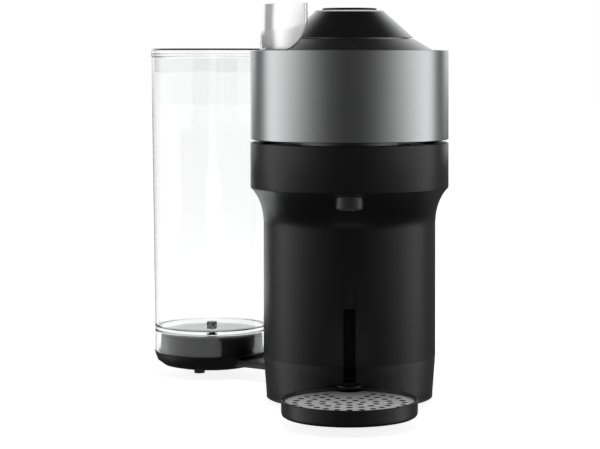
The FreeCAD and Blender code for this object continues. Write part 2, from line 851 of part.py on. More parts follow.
def make_tank():
    part = body("water_tank", tank_x, tank_y)
    low = tank_low
    slope = (tank_top_radius - tank_foot_radius) / tank_height
    floor_radius = tank_foot_radius + slope * tank_skirt
    hole = valve_stem + running
    turn(part, corners(
        (tank_foot_radius - tank_wall, low), (tank_foot_radius, low), (tank_top_radius, tank_rim),
        (tank_top_radius - tank_wall, tank_rim), (floor_radius - tank_wall, tank_floor + 2.2),
        (hole, tank_floor + 2.2), (hole, tank_floor), (floor_radius - tank_wall - 0.2, tank_floor)))
    valve = body("tank_valve", tank_x, tank_y)
    turn(valve, corners(
        (0, tank_floor - 3.4), (3.4, tank_floor - 3.4), (3.4, tank_floor - 2.6),
        (valve_stem, tank_floor - 2.6), (valve_stem, tank_floor + 2.5),
        (5.2, tank_floor + 2.5), (4.2, tank_floor + 5), (0, tank_floor + 5)))
    coil("valve_spring", tank_x, tank_y, tank_floor - 2.4, tank_floor - 0.4, 4, 0.2, 0.65)
    lid = body("tank_lid", tank_x, tank_y)
    inside = tank_top_radius - tank_wall - 0.6
    turn(lid, corners(
        (0, tank_rim + 3), (inside - 2, tank_rim + 3), (inside - 2, tank_rim - 12),
        (inside, tank_rim - 12), (inside, tank_rim + 0.4), (tank_top_radius + 0.4, tank_rim + 0.4),
        (tank_top_radius + 0.4, tank_rim + 5.6), (tank_top_radius - 1, tank_rim + 7), (0, tank_rim + 7)))


# ---------------------------------------------------------------- inside the column

def make_works():
    room = column_radius / 64.5
    pump_x, pump_y = room * -33, room * -50
    heater_x, heater_y = room * 30, room * -55
    board_half, board_front = room * 36, room * -86
    hose_side = room * 48
    tube("pump", pump_x, pump_y, 0, room * 17, container_low - 2, container_high - 1)
    tube("heater", heater_x, heater_y, 0, room * 24, container_low, container_high)
    block("control_board", (-board_half, board_front, 86), (board_half, board_front + 1.6, 126))
    block("power_board", (room * -35, -4, container_low), (room * 35, -2.4, container_high - 2))
    hose("cold_hose", [(0, 0, hub_top + 2.8), (0, 0, 32), (pump_x, 0, 32), (pump_x, pump_y, 32),
                       (pump_x, pump_y, container_low - 2)], 3, 6)
    hose("hot_hose", [(heater_x, heater_y, container_high), (heater_x, heater_y, 150),
                      (hose_side, heater_y, 150), (hose_side, 4, 150), (hose_side, 4, 182)], 3, 7)


def make_container():
    part = body("capsule_container")
    half = container_half
    wide = 2 * column_radius
    pad(part, [stadium(column_radius)], container_low, container_high)
    box(part, "Subtractive", (-wide, -wide - column_length, 0), (wide, 4, wide * 3))
    box(part, "Subtractive", (-wide, -wide, 0), (-half, wide, wide * 3))
    box(part, "Subtractive", (half, -wide, 0), (wide, wide, wide * 3))
    pocket(part, [corners((-half + 2, 6), (half - 2, 6), (half - 2, 44), (-half + 2, 44))],
           container_low + 2, container_high)


make_base_plate()
make_base_shell()
make_cord_gland()
make_pivot()
make_column()
make_rear_cover()
make_slot_rail()
make_head_ring()
make_head_chassis()
make_head_deck()
make_coffee_trough()
make_nozzle()
make_holder()
make_drive()
make_head_band()
make_head_inner()
make_head_arm()
make_hinge()
make_head_top()
make_lever()
make_button()
make_clamp()
make_cup_support()
make_grille()
make_swivel_arm()
make_tank_base()
make_tank()
make_works()
make_container()
doc.recompute()

for thing in doc.Objects:
    if any(word in str(state) for state in thing.State for word in ("Invalid", "Error")):
        raise ValueError(f"{thing.Name} did not recompute: {thing.State}")
for node in nodes:
    if node.Shape.isNull() or not node.Shape.isValid():
        raise ValueError(f"{node.Label} has no valid shape")

os.makedirs("parts", exist_ok=True)
for node in nodes:
    node.Shape.exportStep(f"parts/{node.Label}.step")
print(len(nodes), "nodes written")
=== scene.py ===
import json
import logging
import math
from dataclasses import dataclass
from enum import Enum

import bpy
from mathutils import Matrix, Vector

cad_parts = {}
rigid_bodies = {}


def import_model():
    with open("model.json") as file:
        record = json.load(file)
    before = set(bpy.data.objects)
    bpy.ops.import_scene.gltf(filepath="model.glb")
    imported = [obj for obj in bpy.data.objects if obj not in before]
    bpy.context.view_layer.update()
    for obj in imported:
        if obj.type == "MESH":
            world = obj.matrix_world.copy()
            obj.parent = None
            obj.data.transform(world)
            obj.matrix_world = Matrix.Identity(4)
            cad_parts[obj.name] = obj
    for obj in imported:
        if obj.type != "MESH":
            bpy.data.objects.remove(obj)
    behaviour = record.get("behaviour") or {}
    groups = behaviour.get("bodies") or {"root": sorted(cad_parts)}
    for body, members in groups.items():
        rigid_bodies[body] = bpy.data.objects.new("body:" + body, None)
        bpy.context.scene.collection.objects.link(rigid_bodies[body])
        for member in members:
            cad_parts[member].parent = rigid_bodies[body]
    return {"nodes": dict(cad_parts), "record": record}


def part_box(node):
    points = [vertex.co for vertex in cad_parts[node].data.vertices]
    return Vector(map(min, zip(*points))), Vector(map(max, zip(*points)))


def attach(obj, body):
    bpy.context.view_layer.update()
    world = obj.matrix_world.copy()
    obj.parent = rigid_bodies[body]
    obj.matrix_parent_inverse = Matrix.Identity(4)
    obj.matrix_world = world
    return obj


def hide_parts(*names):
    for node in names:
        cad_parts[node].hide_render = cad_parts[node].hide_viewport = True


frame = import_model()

# Pod coffee machine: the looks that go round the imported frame.
# Metres, +Z up, front towards -Y, origin on the floor under the tank arm's pivot.

log = logging.getLogger("coffee_machine")
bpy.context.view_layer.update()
MM = 0.001
Profile = list[tuple[float, float]]
Colour = tuple[float, float, float]


# ---------------------------------------------------------------- shader maths

class Value:
    """A number socket of a node tree, used in plain arithmetic."""

    def __init__(self, bench: "Bench", socket: bpy.types.NodeSocket) -> None:
        """Wrap a socket of a bench's tree."""
        self.bench = bench
        self.socket = socket

    def _with(self, operation: str, *others: "Value | float") -> "Value":
        """Add one Math node that works on this value and the others."""
        node = self.bench.node("ShaderNodeMath", {"operation": operation}, [self, *others])
        return Value(self.bench, node.outputs[0])

    def __add__(self, other: "Value | float") -> "Value":
        """Sum."""
        return self._with("ADD", other)

    __radd__ = __add__

    def __sub__(self, other: "Value | float") -> "Value":
        """Difference."""
        return self._with("SUBTRACT", other)

    def __rsub__(self, other: float) -> "Value":
        """Difference from a number."""
        return (self * -1.0) + other

    def __mul__(self, other: "Value | float") -> "Value":
        """Product."""
        return self._with("MULTIPLY", other)

    __rmul__ = __mul__

    def __truediv__(self, other: "Value | float") -> "Value":
        """Quotient."""
        return self._with("DIVIDE", other)

    def __pow__(self, other: "Value | float") -> "Value":
        """Power."""
        return self._with("POWER", other)

    def size(self) -> "Value":
        """This value without its sign."""
        return self._with("ABSOLUTE")

    def angle_to(self, along: "Value") -> "Value":
        """The angle whose tangent is this value over another."""
        return self._with("ARCTAN2", along)

    def clamped(self) -> "Value":
        """This value kept from 0 to 1."""
        node = self.bench.node("ShaderNodeClamp", {}, [self])
        return Value(self.bench, node.outputs[0])


class Bench:
    """The node tree of one finish, built up node by node."""

    def __init__(self, tree: bpy.types.NodeTree) -> None:
        """Start an empty tree."""
        self.tree = tree
        tree.nodes.clear()

    def node(self, kind: str, settings: dict | None = None,
             values: list | dict | None = None) -> bpy.types.Node:
        """Add a node.

        Args:
            kind: The node's type.
            settings: Properties that are set before its sockets are used.
            values: What goes into its sockets, by place or by name.

        Returns:
            The new node.
        """
        made = self.tree.nodes.new(kind)
        for name, setting in (settings or {}).items():
            if name == "stops":
                self._set_stops(made, setting)
            else:
                setattr(made, name, setting)
        pairs = values.items() if isinstance(values, dict) else enumerate(values or [])
        for name, value in pairs:
            socket = made.inputs[name]
            if isinstance(value, Value):
                self.tree.links.new(value.socket, socket)
            elif isinstance(value, bpy.types.NodeSocket):
                self.tree.links.new(value, socket)
            elif value is not None:
                socket.default_value = value
        return made

    @staticmethod
    def _set_stops(ramp: bpy.types.Node, stops: list[tuple[float, Colour]]) -> None:
        """Give a colour ramp its stops.

        Args:
            ramp: The ramp node.
            stops: Place from 0 to 1 and colour of each stop.
        """
        elements = ramp.color_ramp.elements
        while len(elements) < len(stops):
            elements.new(0.5)
        for element, (place, colour) in zip(elements, stops):
            element.position = place
            element.color = (*colour, 1.0)

    def place(self, scale: tuple[float, float, float] = (1, 1, 1)) -> bpy.types.NodeSocket:
        """Object coordinates, stretched by a scale."""
        texture = self.node("ShaderNodeTexCoord")
        mapping = self.node("ShaderNodeMapping", {}, {"Vector": texture.outputs["Object"], "Scale": scale})
        return mapping.outputs[0]

    def noise(self, scale: float, detail: float = 2.0,
              stretch: tuple[float, float, float] = (1, 1, 1)) -> Value:
        """Smooth random values from 0 to 1.

        Args:
            scale: How many spots fit in a metre.
            detail: How many finer layers are added.
            stretch: Scale of each axis.

        Returns:
            The noise as a value.
        """
        node = self.node("ShaderNodeTexNoise", {}, {
            "Vector": self.place(stretch), "Scale": scale, "Detail": detail})
        return Value(self, node.outputs[0])

    def bump(self, height: Value, depth: float, strength: float = 1.0) -> bpy.types.NodeSocket:
        """Turn a height into a normal.

        Args:
            height: The height, from 0 to 1.
            depth: How far 1 stands out, in metres.
            strength: How much of it is used.

        Returns:
            The normal's socket.
        """
        node = self.node("ShaderNodeBump", {}, {
            "Strength": strength, "Distance": depth, "Height": height})
        return node.outputs["Normal"]

    def mixed(self, share: Value, low: Colour, high: Colour) -> bpy.types.NodeSocket:
        """Blend two colours by a value.

        Args:
            share: 0 for the first colour, 1 for the second.
            low: The first colour.
            high: The second colour.

        Returns:
            The colour's socket.
        """
        node = self.node("ShaderNodeMix", {"data_type": "RGBA"})
        self.tree.links.new(share.socket, node.inputs[0])
        node.inputs[6].default_value = (*low, 1.0)
        node.inputs[7].default_value = (*high, 1.0)
        return node.outputs[2]

    def finish(self, sockets: dict) -> None:
        """End the tree in a Principled shader with the sockets given."""
        shader = self.node("ShaderNodeBsdfPrincipled", {}, sockets)
        self.node("ShaderNodeOutputMaterial", {}, [shader.outputs[0]])


def darker(colour: Colour, share: float) -> Colour:
    """A colour with its brightness multiplied."""
    return tuple(part * share for part in colour)


def opaque(colour: Colour) -> tuple[float, float, float, float]:
    """A colour with full alpha."""
    return (*colour, 1.0)


MATERIALS: dict[str, bpy.types.Material] = {}


@dataclass(frozen=True)
class Finish:
    """What every finish has: a name, a colour and a roughness."""

    name: str
    colour: Colour
    roughness: float

    def material(self) -> bpy.types.Material:
        """Build the material once and return it; the frame's own materials are never taken for it."""
        if self.name not in MATERIALS:
            made = bpy.data.materials.new(self.name)
            made.use_nodes = True
            self.build(Bench(made.node_tree))
            MATERIALS[self.name] = made
        return MATERIALS[self.name]

    def build(self, bench: Bench) -> None:
        """Fill the tree; each finish has its own."""
        raise NotImplementedError


@dataclass(frozen=True)
class MouldedPlastic(Finish):
    """Plastic with the fine grain of a spark-eroded mould."""

    grain: float = 0.000012
    specks: float = 2600.0
    shine: float = 0.5

    def build(self, bench: Bench) -> None:
        """Fine even grain, and a broad change in gloss where hands and cloths go."""
        grain = bench.noise(self.specks, 1.0)
        wear = bench.noise(9.0, 3.0)
        rough = (wear - 0.5) * 0.10 + self.roughness
        bench.finish({
            "Base Color": bench.mixed(wear, darker(self.colour, 0.9), darker(self.colour, 1.1)),
            "Roughness": rough,
            "Specular IOR Level": self.shine,
            "Normal": bench.bump(grain, self.grain),
        })


@dataclass(frozen=True)
class BrushedMetal(Finish):
    """Satin metal with fine lines that run level round the piece."""

    lines: float = 0.0000012
    coat: float = 0.0

    def build(self, bench: Bench) -> None:
        """Lines are noise squeezed in height; a second layer shades them."""
        lines = bench.noise(14.0, 4.0, (1, 1, 260))
        broad = bench.noise(5.0, 2.0)
        bench.finish({
            "Base Color": bench.mixed(lines, darker(self.colour, 0.985), darker(self.colour, 1.015)),
            "Metallic": 1.0,
            "Roughness": (lines - 0.5) * 0.03 + (broad - 0.5) * 0.03 + self.roughness,
            "Normal": bench.bump(lines, self.lines),
            "Coat Weight": self.coat,
        })


@dataclass(frozen=True)
class PolishedMetal(Finish):
    """Bright plated metal with faint wipe marks."""

    metal: float = 1.0

    def build(self, bench: Bench) -> None:
        """Only the gloss changes a little, as on a wiped surface."""
        smears = bench.noise(38.0, 4.0, (1, 1, 2.5))
        bench.finish({
            "Base Color": opaque(self.colour),
            "Metallic": self.metal,
            "Roughness": (smears ** 3.0) * 0.10 + self.roughness,
        })


@dataclass(frozen=True)
class BlastedMetal(Finish):
    """Pale metal dulled by fine blasting, part mirror and part matt."""

    metal: float = 0.5

    def build(self, bench: Bench) -> None:
        """Fine pits in the surface, and handling marks in its gloss."""
        pits = bench.noise(2400.0, 1.0)
        marks = bench.noise(30.0, 3.0)
        bench.finish({
            "Base Color": bench.mixed(marks, darker(self.colour, 0.94), self.colour),
            "Metallic": self.metal,
            "Roughness": (marks - 0.5) * 0.08 + self.roughness,
            "Normal": bench.bump(pits, 0.000006),
        })


@dataclass(frozen=True)
class ClearPlastic(Finish):
    """Clear moulded plastic."""

    def build(self, bench: Bench) -> None:
        """A see-through shell with very faint flow lines in its gloss."""
        flow = bench.noise(20.0, 2.0, (1, 1, 0.3))
        bench.finish({
            "Base Color": opaque(self.colour),
            "Roughness": (flow ** 2.0) * 0.02 + self.roughness,
            "IOR": 1.49,
            "Transmission Weight": 1.0,
        })


@dataclass(frozen=True)
class SoftRubber(Finish):
    """Rubber or silicone with a dull, slightly dusty skin."""

    def build(self, bench: Bench) -> None:
        """Dust shows as pale patches; a fine grain breaks the gloss."""
        dust = bench.noise(60.0, 4.0)
        grain = bench.noise(3000.0, 1.0)
        bench.finish({
            "Base Color": bench.mixed((dust - 0.35).clamped(), self.colour,
                                      tuple(part * 1.3 + 0.01 for part in self.colour)),
            "Roughness": (dust - 0.5) * 0.15 + self.roughness,
            "Normal": bench.bump(grain, 0.00002),
        })


@dataclass(frozen=True)
class BoardLacquer(Finish):
    """Green solder mask over copper tracks."""

    def build(self, bench: Bench) -> None:
        """Tracks are the edges of square cells."""
        cells = bench.node("ShaderNodeTexBrick", {"offset": 0.35}, {
            "Vector": bench.place(), "Scale": 160.0, "Mortar Size": 0.08})
        tracks = Value(bench, cells.outputs["Fac"])
        bench.finish({
            "Base Color": bench.mixed(tracks, self.colour, (0.10, 0.32, 0.14)),
            "Roughness": tracks * 0.1 + self.roughness,
            "Normal": bench.bump(tracks, 0.00004),
        })


BODY_BLACK = MouldedPlastic("body_black_plastic", (0.0030, 0.0030, 0.0031), 0.37)
RING_BLACK = MouldedPlastic("ring_black_plastic", (0.0030, 0.0030, 0.0031), 0.33, 0.000006)
PEDESTAL_BLACK = MouldedPlastic("pedestal_black_plastic", (0.0030, 0.0030, 0.0031), 0.4, 0.000003, shine=0.28)
# INNER_BLACK is real black plastic on the slot parts, and painted shade on the grille's hole walls and
# underside.
INNER_BLACK = MouldedPlastic("inner_black_plastic", (0.009, 0.009, 0.0095), 0.5)
SPOUT_BLACK = MouldedPlastic("spout_dark_plastic", (0.018, 0.018, 0.019), 0.2, 0.000003)
BAND_METAL = BrushedMetal("satin_titanium_band", (0.60, 0.605, 0.61), 0.27)
COLLAR_METAL = BrushedMetal("dark_titanium_collar", (0.30, 0.30, 0.305), 0.26)
CHROME = PolishedMetal("mirror_chrome", (0.97, 0.97, 0.975), 0.06, 0.6)
CLEAR = ClearPlastic("clear_tank_plastic", (0.985, 0.99, 0.99), 0.012)
RUBBER = SoftRubber("black_rubber", (0.018, 0.018, 0.018), 0.75)
SILICONE = SoftRubber("pale_silicone", (0.62, 0.62, 0.6), 0.45)
STEEL = BrushedMetal("drawn_steel", (0.60, 0.61, 0.62), 0.3)
GRILLE_STEEL = BlastedMetal("pale_grille_steel", (0.95, 0.95, 0.95), 0.34, 0.35)
HEATER_METAL = BrushedMetal("cast_aluminium", (0.66, 0.67, 0.68), 0.5, 0.00003)
NYLON = MouldedPlastic("natural_nylon", (0.66, 0.64, 0.58), 0.5)
BUTTON_BLACK = MouldedPlastic("button_gloss_plastic", (0.012, 0.012, 0.013), 0.12, 0.000002)
LIGHT_WHITE = MouldedPlastic("light_ring_plastic", (0.72, 0.73, 0.75), 0.35)
BOARD = BoardLacquer("board_green_lacquer", (0.02, 0.13, 0.05), 0.3)

class MaterialSlot(Enum):
    """The material slots that the record names."""

    BLACK_BODY = "black_body"
    GLOSS_BLACK = "gloss_black"
    INNER_BLACK = "inner_black"
    OUTLET_BLACK = "outlet_black"
    SATIN_BAND = "satin_band"
    DARK_TITANIUM = "dark_titanium"
    BRIGHT_CHROME = "bright_chrome"
    LEVER_PLASTIC = "lever_plastic"
    BUTTON_DARK = "button_dark"
    BUTTON_LIGHT = "button_light"
    CLEAR_TANK = "clear_tank"
    RUBBER = "rubber"
    SILICONE = "silicone"
    STEEL = "steel"
    PERFORATED_STEEL = "perforated_steel"
    HEATER_METAL = "heater_metal"
    PUMP_BODY = "pump_body"
    CIRCUIT_BOARD = "circuit_board"


SLOT_FINISH: dict[MaterialSlot, Finish] = {
    MaterialSlot.BLACK_BODY: BODY_BLACK,
    MaterialSlot.GLOSS_BLACK: RING_BLACK,
    MaterialSlot.INNER_BLACK: INNER_BLACK,
    MaterialSlot.OUTLET_BLACK: SPOUT_BLACK,
    MaterialSlot.SATIN_BAND: BAND_METAL,
    MaterialSlot.DARK_TITANIUM: COLLAR_METAL,
    MaterialSlot.BRIGHT_CHROME: CHROME,
    MaterialSlot.LEVER_PLASTIC: INNER_BLACK,
    MaterialSlot.BUTTON_DARK: BUTTON_BLACK,
    MaterialSlot.BUTTON_LIGHT: LIGHT_WHITE,
    MaterialSlot.CLEAR_TANK: CLEAR,
    MaterialSlot.RUBBER: RUBBER,
    MaterialSlot.SILICONE: SILICONE,
    MaterialSlot.STEEL: STEEL,
    MaterialSlot.PERFORATED_STEEL: GRILLE_STEEL,
    MaterialSlot.HEATER_METAL: HEATER_METAL,
    MaterialSlot.PUMP_BODY: NYLON,
    MaterialSlot.CIRCUIT_BOARD: BOARD,
}


def dress(thing: bpy.types.Object, finish: Finish) -> None:
    """Give an object one finish all over."""
    thing.data.materials.clear()
    thing.data.materials.append(finish.material())


# ---------------------------------------------------------------- studio

# How bright the room looks by direction, as degrees round from the camera and glow:
# above the floor line and below it.
ROOM_ABOVE: list[tuple[float, float]] = [
    (0, 0.035), (15, 0.05), (25, 0.09), (35, 0.18), (45, 0.33), (55, 0.58), (66, 0.86), (78, 1.02),
    (90, 1.12), (101, 1.28), (109, 1.20), (114, 0.80), (120, 0.08), (136, 0.06), (143, 1.0), (180, 1.15)]
ROOM_BELOW: list[tuple[float, float]] = [
    (0, 0.02), (15, 0.035), (25, 0.07), (35, 0.13), (45, 0.21), (55, 0.28), (66, 0.40), (78, 0.66),
    (90, 0.98), (101, 1.20), (108, 1.05), (115, 0.36), (123, 0.16), (140, 0.10), (180, 0.10)]


@dataclass
class Studio:
    """Camera, pale floor, white surround, the room's light and a lamp overhead."""

    eye: tuple[float, float, float] = (0.0, -1.548, 0.2615)
    lens: float = 120.0
    sensor: float = 36.0
    shift: tuple[float, float] = (-0.0825, -0.2908)
    brightest: float = 1.5
    dome_radius: float = 8.0
    floor_size: float = 15.9
    floor_glow: float = 0.86
    lamp_place: tuple[float, float, float] = (0.0, -0.44, 1.15)
    lamp_target: tuple[float, float, float] = (0.0, -0.17, 0.05)
    lamp_size: float = 0.32
    lamp_power: float = 7.0

    def set_up(self) -> None:
        """Build the whole studio."""
        self.camera()
        self.room()
        self.dome()
        self.floor()
        self.lamp()
        bpy.context.scene.view_settings.view_transform = "Standard"

    def camera(self) -> None:
        """Stand a level camera in front of the machine."""
        bpy.ops.object.camera_add(location=self.eye, rotation=(math.pi / 2, 0, 0))
        camera = bpy.context.object
        camera.data.lens = self.lens
        camera.data.sensor_width = self.sensor
        camera.data.shift_x, camera.data.shift_y = self.shift
        bpy.context.scene.camera = camera

    def room(self) -> None:
        """Light the room by direction: soft and bright at both sides, dim in front and above."""
        world = bpy.data.worlds.new("soft_room")
        bpy.context.scene.world = world
        world.use_nodes = True
        bench = Bench(world.node_tree)
        where = bench.node("ShaderNodeTexCoord")
        parts = bench.node("ShaderNodeSeparateXYZ", {}, [where.outputs["Generated"]])
        across = Value(bench, parts.outputs["X"])
        along = Value(bench, parts.outputs["Y"])
        up = Value(bench, parts.outputs["Z"])
        turned_by = across.size().angle_to(along * -1.0) / math.pi
        above, below = (Value(bench, bench.node("ShaderNodeValToRGB", {"stops": [
            (degrees / 180, (glow / self.brightest,) * 3) for degrees, glow in stops]},
            [turned_by]).outputs["Color"]) for stops in (ROOM_ABOVE, ROOM_BELOW))
        risen = ((up + 0.035) / 0.035).clamped()
        tall = (1.0 - (up - 0.38) * 2.5).clamped()
        deep = ((up + 0.3) * 2.5 + 1.0).clamped()
        light = (above * risen + below * (1.0 - risen)) * tall * deep * self.brightest + 0.02
        back = bench.node("ShaderNodeBackground", {}, {"Color": (1, 1, 1, 1), "Strength": light})
        bench.node("ShaderNodeOutputWorld", {}, [back.outputs[0]])

    def dome(self) -> None:
        """Put a white dome round the room that only the camera and clear pieces see."""
        bpy.ops.mesh.primitive_uv_sphere_add(segments=48, ring_count=24, radius=self.dome_radius)
        dome = bpy.context.object
        dome.name = "white_dome"
        glow = bpy.data.materials.new("white_dome_glow")
        glow.use_nodes = True
        bench = Bench(glow.node_tree)
        shine = bench.node("ShaderNodeEmission", {}, {"Color": (1, 1, 1, 1), "Strength": 1.0})
        bench.node("ShaderNodeOutputMaterial", {}, [shine.outputs[0]])
        dome.data.materials.append(glow)
        dome.visible_diffuse = dome.visible_glossy = dome.visible_shadow = False

    def floor(self) -> None:
        """Lay the pale floor."""
        bpy.ops.mesh.primitive_plane_add(size=self.floor_size, location=(0, 0, -0.0002))
        floor = bpy.context.object
        floor.name = "pale_floor"
        made = bpy.data.materials.new("pale_floor_paint")
        made.use_nodes = True
        Bench(made.node_tree).finish({
            "Base Color": (0.8, 0.8, 0.8, 1), "Roughness": 1.0, "Specular IOR Level": 0.0,
            "Emission Color": (1, 1, 1, 1), "Emission Strength": self.floor_glow})
        floor.data.materials.append(made)
        floor.visible_glossy = False

    def lamp(self) -> None:
        """Hang one soft lamp over the front, for what faces up."""
        bpy.ops.object.light_add(type="AREA", location=self.lamp_place)
        lamp = bpy.context.object
        lamp.data.shape = "DISK"
        lamp.data.size = self.lamp_size
        lamp.data.energy = self.lamp_power
        lamp.visible_glossy = False
        look = Vector(self.lamp_target) - lamp.location
        lamp.rotation_euler = look.to_track_quat("-Z", "Y").to_euler()


# ---------------------------------------------------------------- modelling

BODY_OF = {node: body for body, nodes in frame["record"]["behaviour"]["bodies"].items() for node in nodes}
SLOT_OF = {part["node"]: part["material_slot"] for part in frame["record"]["subparts"]}
AXIS_GAP = 0.00001
JOIN = 0.00003


def centre_of(node: str) -> tuple[float, float]:
    """The middle of a CAD node in plan, in metres."""
    low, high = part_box(node)
    return ((low.x + high.x) / 2, (low.y + high.y) / 2)


def nothing_selected() -> None:
    """Leave edit mode and deselect every object."""
    if bpy.context.object is not None and bpy.context.object.mode != "OBJECT":
        bpy.ops.object.mode_set(mode="OBJECT")
    bpy.ops.object.select_all(action="DESELECT")


def only(piece: bpy.types.Object) -> None:
    """Select one object and make it the active one."""
    nothing_selected()
    piece.select_set(True)
    bpy.context.view_layer.objects.active = piece


def smoothed(piece: bpy.types.Object, degrees: float = 32.0) -> bpy.types.Object:
    """Shade a piece smooth except over sharp edges.

    Args:
        piece: The piece.
        degrees: Edges sharper than this stay sharp.

    Returns:
        The same piece.
    """
    only(piece)
    bpy.ops.object.shade_smooth_by_angle(angle=math.radians(degrees))
    return piece


def eased(corners: list[tuple[float, float, float]], closed: bool = True) -> Profile:
    """Round the corners of an outline, and hold its flat runs flat beside them.

    Args:
        corners: Radius, height and rounding of each corner, in millimetres.
        closed: Whether the outline runs back to its start.

    Returns:
        Radius and height of every point, in metres.
    """
    points: Profile = []
    for index, (radius, height, ease) in enumerate(corners):
        here = Vector((radius, height))
        if ease == 0 or (not closed and index in (0, len(corners) - 1)):
            points.append((radius * MM, height * MM))
            continue
        back = Vector(corners[index - 1][:2]) - here
        ahead = Vector(corners[(index + 1) % len(corners)][:2]) - here
        cut = min(ease / math.tan(back.angle(ahead) / 2), back.length * 0.45, ahead.length * 0.45)
        hold = min(cut * 0.35, 0.3)
        start, end = here + back.normalized() * cut, here + ahead.normalized() * cut
        arc = [start + back.normalized() * hold]
        for step in range(5):
            share = step / 4
            arc.append(start * (1 - share) ** 2 + here * (2 * share * (1 - share)) + end * share ** 2)
        arc.append(end + ahead.normalized() * hold)
        points += [(point.x * MM, point.y * MM) for point in arc]
    return points + points[:1] if closed else points


def turned(name: str, centre: tuple[float, float], profile: Profile, steps: int = 144) -> bpy.types.Object:
    """Turn an outline round an upright axis, ring by ring.

    Args:
        name: What the piece is called.
        centre: The axis in plan, in metres.
        profile: Radius and height of each ring, in metres.
        steps: How many sides each ring has.

    Returns:
        The finished mesh object.
    """
    nothing_selected()
    radius, height = max(profile[0][0], AXIS_GAP), profile[0][1]
    bpy.ops.mesh.primitive_circle_add(vertices=steps, radius=radius, location=(*centre, height))
    piece = bpy.context.object
    piece.name = name
    bpy.ops.object.transform_apply(location=True, rotation=True, scale=True)
    bpy.ops.object.mode_set(mode="EDIT")
    bpy.ops.mesh.select_all(action="SELECT")
    for next_radius, next_height in profile[1:]:
        next_radius = max(next_radius, AXIS_GAP)
        bpy.ops.mesh.extrude_region_move(
            TRANSFORM_OT_translate={"value": (0, 0, next_height - height)})
        share = next_radius / radius
        if abs(share - 1) > 1e-7:
            bpy.ops.transform.resize(value=(share, share, 1), center_override=(*centre, next_height))
        radius, height = next_radius, next_height
    bpy.ops.mesh.select_all(action="SELECT")
    bpy.ops.mesh.remove_doubles(threshold=JOIN)
    bpy.ops.mesh.normals_make_consistent(inside=False)
    return smoothed(piece)


def refined(node: str, name: str, ease: float = 0.3, degrees: float = 32.0) -> bpy.types.Object:
    """Copy a CAD node, join its loose triangles and round its edges.

    Args:
        node: The CAD node.
        name: What the copy is called.
        ease: Width of the rounded edges, in millimetres.
        degrees: Edges sharper than this are rounded.

    Returns:
        The copy, which rides on nothing yet.
    """
    only(frame["nodes"][node])
    bpy.ops.object.duplicate()
    piece = bpy.context.object
    for key in list(piece.keys()):
        del piece[key]
    bpy.ops.object.parent_clear(type="CLEAR_KEEP_TRANSFORM")
    piece.name = name
    bpy.ops.object.mode_set(mode="EDIT")
    bpy.ops.mesh.select_all(action="SELECT")
    bpy.ops.mesh.remove_doubles(threshold=1e-6)
    bpy.ops.mesh.customdata_custom_splitnormals_clear()
    bpy.ops.mesh.normals_make_consistent(inside=False)
    bpy.ops.mesh.dissolve_limited(angle_limit=math.radians(0.3))
    bpy.ops.object.mode_set(mode="OBJECT")
    bpy.ops.object.modifier_add(type="BEVEL")
    bevel = piece.modifiers[-1]
    bevel.width = ease * MM
    bevel.segments = 2
    bevel.limit_method = "ANGLE"
    bevel.angle_limit = math.radians(degrees)
    bevel.use_clamp_overlap = True
    bpy.ops.object.modifier_apply(modifier=bevel.name)
    return smoothed(piece, degrees)


def carved(piece: bpy.types.Object, low: tuple[float, float, float],
           high: tuple[float, float, float]) -> bpy.types.Object:
    """Cut a box out of a piece.

    Args:
        piece: What is cut.
        low: The box's lowest corner, in millimetres.
        high: Its highest corner.

    Returns:
        The same piece.
    """
    nothing_selected()
    middle = [(a + b) / 2 * MM for a, b in zip(low, high)]
    size = [(b - a) * MM for a, b in zip(low, high)]
    bpy.ops.mesh.primitive_cube_add(size=1, location=middle, scale=size)
    cutter = bpy.context.object
    only(piece)
    bpy.ops.object.modifier_add(type="BOOLEAN")
    cut = piece.modifiers[-1]
    cut.operation, cut.solver, cut.object = "DIFFERENCE", "EXACT", cutter
    bpy.ops.object.modifier_apply(modifier=cut.name)
    bpy.data.objects.remove(cutter)
    return smoothed(piece)


def installed(piece: bpy.types.Object, finish: Finish, *nodes: str) -> bpy.types.Object:
    """Dress a piece and let it stand for CAD nodes of one body.

    Args:
        piece: The finished mesh.
        finish: Its finish.
        nodes: The CAD nodes that it replaces.

    Returns:
        The same piece.
    """
    dress(piece, finish)
    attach(piece, BODY_OF[nodes[0]])
    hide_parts(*nodes)
    log.info("%s stands for %s", piece.name, ", ".join(nodes))
    return piece


def painted_shade_in_holes(piece: bpy.types.Object, finish: Finish) -> bpy.types.Object:
    """Paint the walls and underside of a flat piece with a second, dark finish, as painted shade in its
    holes.

    Args:
        piece: The finished, dressed mesh.
        finish: The dark finish painted on the hole walls and underside as painted shade.

    Returns:
        The same piece.
    """
    piece.data.materials.append(finish.material())
    # Every face that doesn't face up takes the dark finish as painted shade; the real piece is one metal all
    # over.
    for face in piece.data.polygons:
        if face.normal.z < 0.5:
            face.material_index = 1
    return piece


# ---------------------------------------------------------------- sub-assemblies

